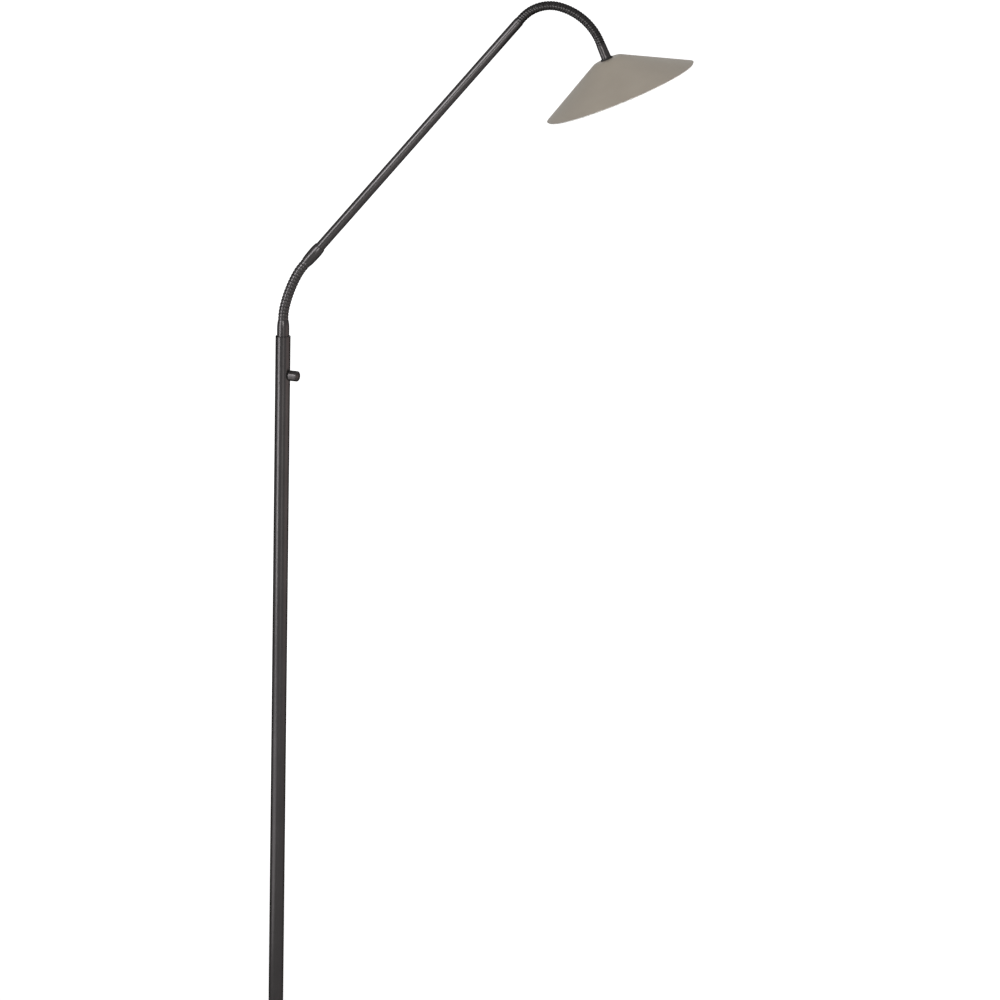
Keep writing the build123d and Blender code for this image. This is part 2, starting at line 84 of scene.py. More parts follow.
def makeCamera(values):
    turn, down, roll = (math.radians(values[key]) for key in ("turnLeft", "lookDown", "roll"))
    level = math.cos(down)
    forward = Vector((-math.sin(turn) * level, math.cos(turn) * level, -math.sin(down)))
    right = Vector((math.cos(turn), math.sin(turn), 0))
    up = right.cross(forward)
    rolledRight = right * math.cos(roll) + up * math.sin(roll)
    rolledUp = up * math.cos(roll) - right * math.sin(roll)
    data = bpy.data.cameras.new("camera")
    data.lens = values["lens"]
    data.sensor_width = values["sensor"]
    data.clip_start, data.clip_end = values["clip"]
    camera = bpy.data.objects.new("camera", data)
    turned = Matrix((rolledRight, rolledUp, -forward)).transposed()
    camera.matrix_world = Matrix.Translation(values["place"]) @ turned.to_4x4()
    scene.collection.objects.link(camera)
    scene.camera = camera


makeCamera(cameraValues)
scene.view_settings.view_transform = "Standard"
print("camera placed")


# Nodes of a material, one short call each

def addNode(tree, kind, x=0, y=0, **settings):
    node = tree.nodes.new("ShaderNode" + kind)
    node.location = (x, y)
    for key, value in settings.items():
        setattr(node, key, value)
    return node


def newMaterial(name):
    material = bpy.data.materials.new(name)
    material.use_nodes = True
    tree = material.node_tree
    tree.nodes.clear()
    output = addNode(tree, "OutputMaterial", 900)
    shader = addNode(tree, "BsdfPrincipled", 600)
    tree.links.new(shader.outputs["BSDF"], output.inputs["Surface"])
    return material, tree, shader


def noise(tree, size, detail=2, roughness=0.5, stretch=(1, 1, 1), y=0):
    # cloudy pattern whose blobs are about size millimetres, stretched along the object's axes
    place = addNode(tree, "TexCoord", -900, y)
    mapping = addNode(tree, "Mapping", -700, y)
    mapping.inputs["Scale"].default_value = [1 / factor for factor in stretch]
    texture = addNode(tree, "TexNoise", -500, y)
    texture.inputs["Scale"].default_value = 1 / (size * mm)
    texture.inputs["Detail"].default_value = detail
    texture.inputs["Roughness"].default_value = roughness
    tree.links.new(place.outputs["Object"], mapping.inputs["Vector"])
    tree.links.new(mapping.outputs["Vector"], texture.inputs["Vector"])
    return texture


def ranged(tree, source, low, high, fromLow=0.3, fromHigh=0.7, y=0):
    spread = addNode(tree, "MapRange", -250, y)
    for key, value in (("From Min", fromLow), ("From Max", fromHigh), ("To Min", low), ("To Max", high)):
        spread.inputs[key].default_value = value
    tree.links.new(source, spread.inputs["Value"])
    return spread.outputs["Result"]


def mixed(tree, share, first, second, y=0):
    # a colour that goes from first to second with the share
    mix = addNode(tree, "Mix", 0, y, data_type="RGBA")
    for socket, colour in (("A", first), ("B", second)):
        target = next(i for i in mix.inputs if i.name == socket and i.type == "RGBA")
        if isinstance(colour, (tuple, list)):
            target.default_value = (*colour, 1)
        else:
            tree.links.new(colour, target)
    tree.links.new(share, next(i for i in mix.inputs if i.name == "Factor" and i.type == "VALUE"))
    return next(o for o in mix.outputs if o.type == "RGBA")


def bumped(tree, shader, source, depth):
    # a surface that rises and falls with the source, by a depth in millimetres
    bump = addNode(tree, "Bump", 300, -400)
    bump.inputs["Strength"].default_value = 1
    bump.inputs["Distance"].default_value = depth * mm
    tree.links.new(source, bump.inputs["Height"])
    tree.links.new(bump.outputs["Normal"], shader.inputs["Normal"])


def setShader(shader, **values):
    # each value's name is the shader's own, with its spaces as underscores
    for key, value in values.items():
        shader.inputs[key.replace("_", " ")].default_value = value


# Finishes

coatValues = {
    "graphiteCoat": {"colour": (0.046, 0.0435, 0.044), "darker": (0.039, 0.0365, 0.037), "patch": 60,
                     "grain": 0.55, "depth": 0.012, "roughness": (0.19, 0.25), "metallic": 0.58,
                     "specular": 0, "edge": 0.15},
    "shadeCoat": {"colour": (0.300, 0.268, 0.226), "darker": (0.276, 0.246, 0.208), "patch": 45,
                  "grain": 0.5, "depth": 0.014, "roughness": (0.44, 0.52), "metallic": 0,
                  "specular": 0.18, "edge": 1},
    # ringCoat, the upper neck's coat, is darker than the lower neck's graphiteCoat: its darker colour is
    # painted shade, for the darker look that the light gives the upper neck
    "ringCoat": {"colour": (0.030, 0.0287, 0.029), "darker": (0.025, 0.0235, 0.024), "patch": 9,
                 "grain": 0.35, "depth": 0.005, "roughness": (0.19, 0.25), "metallic": 0.72,
                 "specular": 0, "edge": 0.15},
    "knobSatin": {"colour": (0.050, 0.047, 0.047), "darker": (0.040, 0.037, 0.037), "patch": 10,
                  "grain": 0.3, "depth": 0.004, "roughness": (0.22, 0.28), "metallic": 0.5,
                  "specular": 0, "edge": 0.2},
    "whitePlastic": {"colour": (0.74, 0.73, 0.705), "darker": (0.69, 0.68, 0.655), "patch": 70,
                     "grain": 0.7, "depth": 0.01, "roughness": (0.42, 0.50), "metallic": 0,
                     "specular": 0.5, "edge": 1},
    "blackRubber": {"colour": (0.014, 0.014, 0.014), "darker": (0.008, 0.008, 0.008), "patch": 8,
                    "grain": 0.6, "depth": 0.03, "roughness": (0.68, 0.82), "metallic": 0,
                    "specular": 0.25, "edge": 1},
    "blackPlastic": {"colour": (0.024, 0.024, 0.025), "darker": (0.017, 0.017, 0.018), "patch": 6,
                     "grain": 0.4, "depth": 0.02, "roughness": (0.46, 0.56), "metallic": 0,
                     "specular": 0.4, "edge": 1},
    "boardWhite": {"colour": (0.80, 0.80, 0.77), "darker": (0.72, 0.73, 0.69), "patch": 9,
                   "grain": 0.5, "depth": 0.004, "roughness": (0.28, 0.36), "metallic": 0,
                   "specular": 0.5, "edge": 1},
    "chipYellow": {"colour": (0.82, 0.66, 0.20), "darker": (0.74, 0.56, 0.14), "patch": 1.4,
                   "grain": 0.2, "depth": 0.01, "roughness": (0.30, 0.40), "metallic": 0,
                   "specular": 0.5, "edge": 1},
}

speckValues = {"darkest": 0.35, "from": 0.62, "to": 0.8}


def makeCoat(name, values):
    # slow patches in the colour, fine grain in the gloss and the surface, and a few darker specks
    material, tree, shader = newMaterial(name)
    patches = noise(tree, values["patch"], detail=3, y=300)
    grain = noise(tree, values["grain"], roughness=0.6, y=-200)
    share = ranged(tree, patches.outputs["Fac"], 0, 1, y=300)
    colour = mixed(tree, share, values["darker"], values["colour"], y=300)
    specks = ranged(tree, grain.outputs["Fac"], 0, speckValues["darkest"], fromLow=speckValues["from"],
                    fromHigh=speckValues["to"], y=100)
    speckled = mixed(tree, specks, colour, values["darker"], y=100)
    tree.links.new(speckled, shader.inputs["Base Color"])
    low, high = values["roughness"]
    tree.links.new(ranged(tree, grain.outputs["Fac"], low, high, y=-100), shader.inputs["Roughness"])
    bumped(tree, shader, grain.outputs["Fac"], values["depth"])
    setShader(shader, Metallic=values["metallic"], Specular_IOR_Level=values["specular"],
              Specular_Tint=(values["edge"], values["edge"], values["edge"], 1))
    return material


metalValues = {
    "zincSteel": {"colour": (0.56, 0.57, 0.59), "darker": (0.44, 0.45, 0.47), "patch": 3,
                  "grain": 0.25, "stretch": (1, 1, 1), "depth": 0.006, "roughness": (0.26, 0.40)},
    "bareAluminium": {"colour": (0.76, 0.76, 0.77), "darker": (0.66, 0.66, 0.675), "patch": 5,
                      "grain": 0.22, "stretch": (6, 1, 6), "depth": 0.006, "roughness": (0.30, 0.44)},
}


def makeMetal(name, values):
    # bare metal: crystal patches in the colour, and fine drawn lines in its gloss
    material, tree, shader = newMaterial(name)
    patches = noise(tree, values["patch"], detail=4, roughness=0.65, y=300)
    lines = noise(tree, values["grain"], detail=3, stretch=values["stretch"], y=-200)
    share = ranged(tree, patches.outputs["Fac"], 0, 1, y=300)
    colour = mixed(tree, share, values["darker"], values["colour"], y=300)
    tree.links.new(colour, shader.inputs["Base Color"])
    low, high = values["roughness"]
    tree.links.new(ranged(tree, lines.outputs["Fac"], low, high, y=-100), shader.inputs["Roughness"])
    bumped(tree, shader, lines.outputs["Fac"], values["depth"])
    setShader(shader, Metallic=1)
    return material


opalValues = {"colour": (0.90, 0.90, 0.875), "darker": (0.86, 0.86, 0.83), "patch": 30, "grain": 0.9,
              "depth": 0.01, "roughness": (0.30, 0.38), "scatter": 2.5, "scatterWeight": 0.6,
              "scatterTint": (1, 1, 0.9), "gloss": 0.15, "glossRoughness": 0.2}


def makeOpal(values):
    # milky plastic that lets light wander a little way in, under a thin gloss
    material, tree, shader = newMaterial("opalPlastic")
    patches = noise(tree, values["patch"], y=300)
    grain = noise(tree, values["grain"], y=-200)
    share = ranged(tree, patches.outputs["Fac"], 0, 1, y=300)
    colour = mixed(tree, share, values["darker"], values["colour"], y=300)
    tree.links.new(colour, shader.inputs["Base Color"])
    low, high = values["roughness"]
    tree.links.new(ranged(tree, grain.outputs["Fac"], low, high, y=-100), shader.inputs["Roughness"])
    bumped(tree, shader, grain.outputs["Fac"], values["depth"])
    setShader(shader, Subsurface_Weight=values["scatterWeight"], Subsurface_Scale=values["scatter"] * mm,
              Subsurface_Radius=values["scatterTint"], Coat_Weight=values["gloss"],
              Coat_Roughness=values["glossRoughness"])
    return material


def camelCase(name):
    first, *others = name.split("_")
    return first + "".join(word.capitalize() for word in others)


finishes = {name: makeCoat(name, values) for name, values in coatValues.items()}
finishes.update({name: makeMetal(name, values) for name, values in metalValues.items()})
finishes["opalPlastic"] = makeOpal(opalValues)
slotOfNode = {part["node"]: part["material_slot"] for part in frame["record"]["subparts"]}
print("finishes made:", len(finishes))


# Places along the lamp, read from the frame

def frameAlong(origin, direction):
    # local Z runs along the direction, and local Y stays as near to sideways as it can
    along = direction.normalized()
    side = (sideways - along * sideways.dot(along)).normalized()
    return Matrix.Translation(origin) @ Matrix((side.cross(along), side, along)).transposed().to_4x4()


def middleOf(node):
    low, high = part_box(node)
    return (low + high) / 2


def jointAt(name):
    return Vector(joints[name]["pos_m"])


def reachOf(node, place):
    # nearest and farthest point along the place's local Z, in millimetres
    inward = place.inverted()
    heights = [(inward @ vertex.co).z / mm for vertex in nodes[node].data.vertices]
    return min(heights), max(heights)


def bodyOf(node):
    return nodes[node]["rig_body"]


def chainOf(prefix):
    return [jointAt(joint["name"]) for joint in frame["joints"] if joint["name"].startswith(prefix + "_")]


lowerJoints = chainOf("lower")
upperJoints = chainOf("upper")
polePlace = frameAlong(Vector((0, 0, 0)), upwards)
armPlace = frameAlong(lowerJoints[-1], upperJoints[0] - lowerJoints[-1])
headPlace = frameAlong(upperJoints[-1], middleOf("led_board") - middleOf("shade_gasket"))
dimmerPlace = frameAlong(jointAt("dimmer_turn"), Vector(joints["dimmer_turn"]["axis"]))


# Modelling helpers

modelValues = {"steps": 96, "roundSteps": 4, "bowSteps": 8, "weld": 0.0005, "sharp": 35, "evenWeight": 50}
softenValues = {"weld": 0.001, "flat": 1, "sharp": 30, "segments": 2}


def wire(outline):
    # a wire in the local XZ plane through (radius, height) points, open only from axis to axis
    shape = bmesh.new()
    corners = [shape.verts.new((point[0], 0, point[1])) for point in outline]
    onAxis = outline[0][0] == 0 and outline[-1][0] == 0
    for first, second in zip(corners, corners[1:] + ([] if onAxis else corners[:1])):
        shape.edges.new((first, second))
    return shape, corners


def lathe(outline, steps=modelValues["steps"], roundSteps=modelValues["roundSteps"]):
    # rounds each corner that has a third number, its rounding, then turns the outline about local Z
    shape, corners = wire(outline)
    for corner, point in zip(corners, outline):
        if len(point) > 2:
            bmesh.ops.bevel(shape, geom=[corner], offset=point[2], offset_type="OFFSET", segments=roundSteps,
                            profile=0.5, affect="VERTICES", material=-1)
    bmesh.ops.spin(shape, geom=shape.verts[:] + shape.edges[:], cent=(0, 0, 0), axis=(0, 0, 1),
                   angle=math.tau, steps=steps, use_merge=True, use_duplicate=False)
    bmesh.ops.remove_doubles(shape, verts=shape.verts, dist=modelValues["weld"])
    bmesh.ops.dissolve_degenerate(shape, edges=shape.edges, dist=modelValues["weld"])
    bmesh.ops.recalc_face_normals(shape, faces=shape.faces)
    return shape


def bowed(level, far, steps=modelValues["bowSteps"]):
    # a shallow bow that leaves the level point along its second number and ends at the far point
    shares = [i / steps for i in range(steps + 1)]
    return [(level[0] + (far[0] - level[0]) * share ** 2, level[1] + (far[1] - level[1]) * share)
            for share in shares]


def sphereArc(radius, centre, low, high, steps):
    # points of a ball's outline, centred on the axis, from one height to another
    heights = [low + (high - low) * i / steps for i in range(steps + 1)]
    return [(math.sqrt(radius ** 2 - height ** 2), centre + height) for height in heights]


def finished(shape, name, body, place, replaced, finish=None, sharp=modelValues["sharp"], even=True):
    # the shape in its place in metres, on its body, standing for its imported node
    bmesh.ops.transform(shape, matrix=place @ Matrix.Scale(mm, 4), verts=shape.verts)
    mesh = bpy.data.meshes.new(name)
    shape.to_mesh(mesh)
    shape.free()
    mesh.shade_smooth()
    mesh.set_sharp_from_angle(angle=math.radians(sharp))
    piece = bpy.data.objects.new(name, mesh)
    scene.collection.objects.link(piece)
    if even:
        # wide faces keep their own direction beside rounded edges, so their reflections stay true
        shading = piece.modifiers.new("evenShading", "WEIGHTED_NORMAL")
        shading.mode = "FACE_AREA"
        shading.weight = modelValues["evenWeight"]
        shading.keep_sharp = True
    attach(piece, body)
    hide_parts(*replaced)
    mesh.materials.append(finishes[finish or camelCase(slotOfNode[replaced[0]])])


def softened(name, node, width):
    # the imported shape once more, with its sharp edges rounded
    flat, sharp = math.radians(softenValues["flat"]), math.radians(softenValues["sharp"])
    shape = bmesh.new()
    shape.from_mesh(nodes[node].data)
    bmesh.ops.transform(shape, matrix=Matrix.Scale(1 / mm, 4), verts=shape.verts)
    bmesh.ops.remove_doubles(shape, verts=shape.verts, dist=softenValues["weld"])
    bmesh.ops.dissolve_limit(shape, angle_limit=flat, verts=shape.verts, edges=shape.edges)
    edges = [edge for edge in shape.edges if edge.is_manifold and edge.calc_face_angle() > sharp]
    bmesh.ops.bevel(shape, geom=edges, offset=width, offset_type="OFFSET", profile=0.5, affect="EDGES",
                    segments=softenValues["segments"], clamp_overlap=True, material=-1)
    finished(shape, name, bodyOf(node), Matrix.Identity(4), [node])


# Flexible necks: every link has two rings, and ends in a ball that reaches under the next link's first ring

neckValues = {
    "lower": {"pitch": 4.47, "ring": 2.9, "radius": 6.8, "drop": 0.12, "groove": 0.3, "valley": 0.42,
              "cover": 2.2, "limit": 13.3, "bore": 2.0, "spigot": 8.0, "spigotRadius": 5.2,
              "rootRings": 1, "finish": "graphiteCoat"},
    # the upper neck takes the darker ringCoat, whose colour is painted shade; the lower neck keeps
    # graphiteCoat
    "upper": {"pitch": 3.57, "ring": 2.55, "radius": 6.0, "drop": 0.1, "groove": 0.26, "valley": 0.36,
              "cover": 1.75, "limit": 12.6, "bore": 1.6, "spigot": 9.0, "spigotRadius": 4.6,
              "rootRings": 2, "finish": "ringCoat"},
    "ringsPerLink": 2, "ringSteps": 56, "crownSteps": 4, "ballSteps": 4, "play": 0.06, "lean": 0.5,
    "sharp": 50,
}


def ringOutline(values, count, start="cup", end="ball"):
    # the outline of a link with so many rings: a cup or a spigot, the rings, then a ball or a spigot
    pitch, width, crown = values["pitch"], values["ring"], values["radius"]
    floor, edge = crown - values["groove"], crown - values["drop"]
    valley = floor - values["valley"]
    flank = (pitch - width) / 2
    length = count * pitch
    reach, bore, play = values["cover"], values["bore"], neckValues["play"]
    spigot, spigotRadius = values["spigot"], values["spigotRadius"]
    if start == "cup":
        # deep enough for the ball's far edge when the joint is at its limit
        mouth = floor + play
        limit = math.radians(values["limit"])
        ballEnd = math.sqrt(floor ** 2 - reach ** 2)
        deep = reach * math.cos(limit) + ballEnd * math.sin(limit) + play
        outline = [(bore, deep), (mouth, deep), (mouth, flank)]
    else:
        outline = [(bore, -spigot), (spigotRadius, -spigot), (spigotRadius, 0), (floor, 0), (floor, flank)]
    for i in range(count):
        middle = (i + 1 / 2) * pitch
        outline += bowed((crown, middle), (edge, middle - width / 2), neckValues["crownSteps"])[::-1]
        outline += bowed((crown, middle), (edge, middle + width / 2), neckValues["crownSteps"])[1:]
        if i < count - 1:
            outline += [(floor, middle + width / 2), (valley, middle + pitch / 2),
                        (floor, middle + pitch - width / 2)]
    if end == "ball":
        outline += [(floor, length - flank), (valley, length)]
        outline += sphereArc(floor, length, flank, reach, neckValues["ballSteps"])
        outline += [(bore, length + reach)]
    else:
        outline += [(floor, length - flank), (floor, length), (spigotRadius, length),
                    (spigotRadius, length + spigot), (bore, length + spigot)]
    return outline, length


def bentAlong(shape, length, startTurn, endTurn):
    # leans each ring so that the links of a bent neck run as one curve
    rows = {}
    for vertex in shape.verts:
        rows.setdefault(round(vertex.co.z, 3), []).append(vertex)
    for height, row in rows.items():
        share = min(max(height / length, 0), 1)
        turn = startTurn + (endTurn - startTurn) * share
        bulge = -length * (endTurn - startTurn) * share * (1 - share) / 2
        centre = min(max(height, 0), length)
        bmesh.ops.rotate(shape, verts=row, cent=(0, 0, centre), matrix=Matrix.Rotation(turn, 3, "Y"))
        bmesh.ops.translate(shape, verts=row, vec=(bulge, 0, 0))


def headingOf(place):
    # the angle of the place's local Z above level, in the arm's plane
    direction = place.col[2]
    return math.atan2(direction.z, direction.x)


def makeNeck(prefix, points, startPlace, endPlace):
    values = neckValues[prefix]
    perLink, rootRings = neckValues["ringsPerLink"], values["rootRings"]
    count = len(points) - 1
    places = [frameAlong(points[i], points[i + 1] - points[i]) for i in range(count)]
    places = [startPlace] + places + [endPlace]
    turns = [headingOf(before) - headingOf(after) for before, after in zip(places, places[1:])]
    leans = [turn * neckValues["lean"] / 2 for turn in turns]

    def makeRings(name, node, place, rings, startTurn, endTurn, **ends):
        outline, length = ringOutline(values, rings, **ends)
        shape = lathe(outline, neckValues["ringSteps"])
        bentAlong(shape, length, startTurn, endTurn)
        finished(shape, prefix + name, bodyOf(node), place, [node], values["finish"], neckValues["sharp"],
                 even=False)

    for i in range(count):
        makeRings(f"Rings{i + 1:02d}", f"{prefix}_link_{i + 1:02d}", places[i + 1], perLink, -leans[i],
                  leans[i + 1])
    back = Matrix.Translation((0, 0, -rootRings * values["pitch"] * mm))
    rootPlace = frameAlong(points[0], startPlace.col[2].to_3d()) @ back
    makeRings("RingsRoot", f"{prefix}_neck_root", rootPlace, rootRings, 0, leans[0], start="spigot")
    tipPlace = frameAlong(points[-1], endPlace.col[2].to_3d())
    makeRings("RingsTip", f"{prefix}_neck_tip", tipPlace, perLink, -leans[-1], 0, end="spigot")


makeNeck("lower", lowerJoints, polePlace, armPlace)
makeNeck("upper", upperJoints, armPlace, headPlace)
print("necks modelled:", len(lowerJoints) + len(upperJoints) + 2, "ring pieces")


# Foot: a round disc on a soft pad

footValues = {"radius": 130, "low": 2, "high": 12, "topRounding": 3, "lowRounding": 1, "hole": 4.2,
              "recess": 13, "recessTop": 9.4, "recessEdge": 0.3, "padRadius": 125, "padRounding": 0.6,
              "steps": 192, "roundSteps": 8, "padSteps": 160}


def makeFoot(values):
    low, high, edge = values["low"], values["high"], values["recessEdge"]
    disc = lathe([(values["hole"], values["recessTop"]), (values["recess"], values["recessTop"], edge),
                  (values["recess"], low, edge), (values["radius"], low, values["lowRounding"]),
                  (values["radius"], high, values["topRounding"]), (values["hole"], high)],
                 values["steps"], values["roundSteps"])
    finished(disc, "footDisc", bodyOf("base_disc"), polePlace, ["base_disc"])
    pad = lathe([(0, 0), (values["padRadius"], 0, values["padRounding"]), (values["padRadius"], low),
                 (0, low)], values["padSteps"])
    finished(pad, "footPad", bodyOf("base_pad"), polePlace, ["base_pad"])


# Collar on the pole's top: a straight foot that draws in to the lower neck

lowerCollarValues = {"base": 8.15, "straight": 10.8, "top": 6.8, "height": 22.3, "shank": 6,
                     "shankLength": 16, "socket": 5.3, "socketDepth": 8.1, "bore": 2, "edge": 0.45}


def makeLowerCollar(values):
    place = frameAlong(Vector((0, 0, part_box("pole_tube")[1].z)), upwards)
    height, reach = values["height"], values["shankLength"]
    floor = height - values["socketDepth"]
    taper = bowed((values["base"], values["straight"]), (values["top"], height))
    shape = lathe([(values["bore"], -reach), (values["shank"], -reach), (values["shank"], 0),
                   (values["base"], 0, values["edge"])] + taper[:-1]
                  + [(values["top"], height, values["edge"]), (values["socket"], height),
                     (values["socket"], floor), (values["bore"], floor)])
    finished(shape, "lowerCollar", bodyOf("lower_collar"), place, ["lower_collar"])


# Barrel collar between the lower neck and the arm, and the arm itself

armValues = {"start": 7.25, "swell": 8.2, "end": 7.25, "swellShare": 0.66, "shortBy": 1.8, "bowSteps": 10,
             "bore": 2, "socket": 5.3, "socketDepth": 8.1, "insert": 12.1, "seat": 6.55,
             "startEdge": 0.5, "endEdge": 0.62, "tube": 6.5, "tubeBore": 5.5, "tubeEdge": 0.35}


def makeArm(values):
    low, high = reachOf("arm_collar", armPlace)
    high -= values["shortBy"]
    peak = low + (high - low) * values["swellShare"]
    rising = bowed((values["swell"], peak), (values["start"], low), values["bowSteps"])[::-1]
    falling = bowed((values["swell"], peak), (values["end"], high), values["bowSteps"])
    rising[0] = (*rising[0], values["startEdge"])
    falling[-1] = (*falling[-1], values["endEdge"])
    seatFloor, socketFloor = high - values["insert"], low + values["socketDepth"]
    shape = lathe(rising + falling[1:] + [(values["seat"], high), (values["seat"], seatFloor),
                                          (values["bore"], seatFloor), (values["bore"], socketFloor),
                                          (values["socket"], socketFloor), (values["socket"], low)])
    finished(shape, "armCollar", bodyOf("arm_collar"), armPlace, ["arm_collar"])
    low, high = reachOf("arm_tube", armPlace)
    shape = lathe([(values["tubeBore"], low), (values["tube"], low),
                   (values["tube"], high, values["tubeEdge"]), (values["tubeBore"], high)])
    finished(shape, "armTube", bodyOf("arm_tube"), armPlace, ["arm_tube"])


# Head: a slightly conical collar with a nipple, a gasket, the cone shade, its white liner and the diffuser

headValues = {"collarLength": 18.6, "collarStart": 6.1, "collarEnd": 6.6, "collarEdge": 0.45, "socket": 4.75,
              "socketDepth": 9.1, "nipple": 4, "nippleReach": 13, "nippleEdge": 0.3, "bore": 2,
              "nippleHole": 4.1, "gasket": 8.2, "gasketLength": 2, "gasketEdge": 0.6}
shadeValues = {"rim": 103.6, "top": 18.2, "slope": 28.3, "shoulder": 8, "wall": 1, "gap": 0.1, "liner": 1.2,
               "lip": 1.6, "lipInset": 1.1, "lipEdge": 0.8, "lipBackEdge": 0.6, "edge": 0.45,
               "steps": 192, "roundSteps": 8}
diffuserValues = {"inner": 28.05, "outer": 29.45, "wall": 1.4, "rounding": 4, "edge": 0.3,
                  "steps": 128, "roundSteps": 8}


def makeHeadCollar(values, start, end, flat):
    # the collar with its nipple, and the gasket between it and the shade's flat top
    nippleEnd, floor = flat + values["nippleReach"], start + values["socketDepth"]
    shape = lathe([(values["socket"], start), (values["collarStart"], start, values["collarEdge"]),
                   (values["collarEnd"], end, values["collarEdge"]), (values["nipple"], end),
                   (values["nipple"], nippleEnd, values["nippleEdge"]), (values["bore"], nippleEnd),
                   (values["bore"], floor), (values["socket"], floor)])
    finished(shape, "headCollar", bodyOf("head_collar"), headPlace, ["head_collar"])
    shape = lathe([(values["nippleHole"], end), (values["gasket"], end, values["gasketEdge"]),
                   (values["gasket"], flat, values["gasketEdge"]), (values["nippleHole"], flat)])
    finished(shape, "shadeGasket", bodyOf("shade_gasket"), headPlace, ["shade_gasket"])


def makeShade(values, hole, flat):
    # the shell, and a liner inside it whose lip comes past the rim
    slope = math.radians(values["slope"])
    rimHeight = flat + (values["rim"] - values["top"]) * math.tan(slope)
    linerDepth = values["wall"] + values["gap"]
    lipRadius, lipEnd = values["rim"] - values["lipInset"], rimHeight + values["lip"]

    def coneLayer(depth):
        # the hole's edge, the shoulder with its rounding, and the rim, taken in by a depth
        shoulder = (values["shoulder"] - depth) * math.tan(slope / 2)
        return [(hole, flat + depth),
                (values["top"] - depth * math.tan(slope / 2), flat + depth, shoulder),
                (values["rim"] - depth / math.sin(slope), rimHeight)]

    outside, inside = coneLayer(0), coneLayer(values["wall"])
    outside[-1] = (*outside[-1], values["edge"])
    shape = lathe(outside + inside[::-1], values["steps"], values["roundSteps"])
    finished(shape, "shadeShell", bodyOf("shade_shell"), headPlace, ["shade_shell"])
    outside, inside = coneLayer(linerDepth), coneLayer(linerDepth + values["liner"])
    lip = [(lipRadius, rimHeight), (lipRadius, lipEnd, values["lipEdge"]),
           (inside[-1][0], lipEnd, values["lipBackEdge"])]
    shape = lathe(outside + lip + inside[::-1], values["steps"], values["roundSteps"])
    finished(shape, "shadeLiner", bodyOf("shade_liner"), headPlace, ["shade_liner"])


def makeDiffuser(values):
    low, high = reachOf("light_diffuser", headPlace)
    inner, outer, edge, wall = values["inner"], values["outer"], values["edge"], values["wall"]
    shape = lathe([(0, high), (outer, high, values["rounding"]), (outer, low, edge), (inner, low, edge),
                   (inner, high - wall, values["rounding"] - wall), (0, high - wall)],
                  values["steps"], values["roundSteps"])
    finished(shape, "lightDiffuser", bodyOf("light_diffuser"), headPlace, ["light_diffuser"])


# Dimmer knob: round, with a bevelled edge, a slightly domed end and a recess over the nut

knobValues = {"radius": 7, "edge": 2.3, "dome": 0.8, "domeSteps": 6, "longBy": 0.7, "recess": 5.6,
              "recessDepth": 3.4, "hole": 3.05, "holeDepth": 10.45, "backEdge": 0.4, "roundSteps": 6}


def makeKnob(values):
    low, high = reachOf("dimmer_knob", dimmerPlace)
    high += values["longBy"]
    radius, edge = values["radius"], values["edge"]
    shoulder = high - values["dome"]
    # a bow turned on its side: level at the axis, and falling to where the edge's rounding begins
    dome = [(out, height) for height, out in bowed((high, 0), (shoulder, radius - edge), values["domeSteps"])]
    recessEnd, holeEnd = low + values["recessDepth"], low + values["holeDepth"]
    shape = lathe(dome[:-1] + [(radius, shoulder, edge), (radius, low, values["backEdge"]),
                               (values["recess"], low), (values["recess"], recessEnd),
                               (values["hole"], recessEnd), (values["hole"], holeEnd), (0, holeEnd)],
                  roundSteps=values["roundSteps"])
    finished(shape, "dimmerKnob", bodyOf("dimmer_knob"), dimmerPlace, ["dimmer_knob"])


makeFoot(footValues)
makeLowerCollar(lowerCollarValues)
makeArm(armValues)
collarStart = reachOf("head_collar", headPlace)[0]
collarEnd = collarStart + headValues["collarLength"]
shadeFlat = collarEnd + headValues["gasketLength"]
makeHeadCollar(headValues, collarStart, collarEnd, shadeFlat)
makeShade(shadeValues, headValues["nippleHole"], shadeFlat)
makeDiffuser(diffuserValues)
makeKnob(knobValues)
print("foot, collars, arm, head and knob modelled")


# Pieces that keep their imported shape, with their sharp edges rounded by so many millimetres

softEdges = {"pole_tube": 0.25, "cable_grommet": 0.3, "base_bolt": 0.4, "base_washer": 0.25,
             "shade_washer": 0.2, "shade_nut": 0.3, "heat_sink": 0.3, "led_board": 0.15, "led_chips": 0.12,
             "board_screws": 0.3}
for node, width in softEdges.items():
    softened(camelCase(node), node, width)
print("edges softened:", len(softEdges))


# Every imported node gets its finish, which shows on the ones that no piece replaces

for name, node in nodes.items():
    node.data.materials.clear()
    node.data.materials.append(finishes[camelCase(slotOfNode[name])])


# Floor, world and studio light

stageValues = {"size": 80, "segments": 8, "colour": (0.66, 0.66, 0.656), "shade": 0.985, "grain": 3,
               "roughness": 0.9, "specular": 0.1, "nearGlow": 0.64, "farGlow": 0.96, "nearDistance": 0.3,
               "farDistance": 1.8, "worldLight": 0.3, "worldSeen": 1}
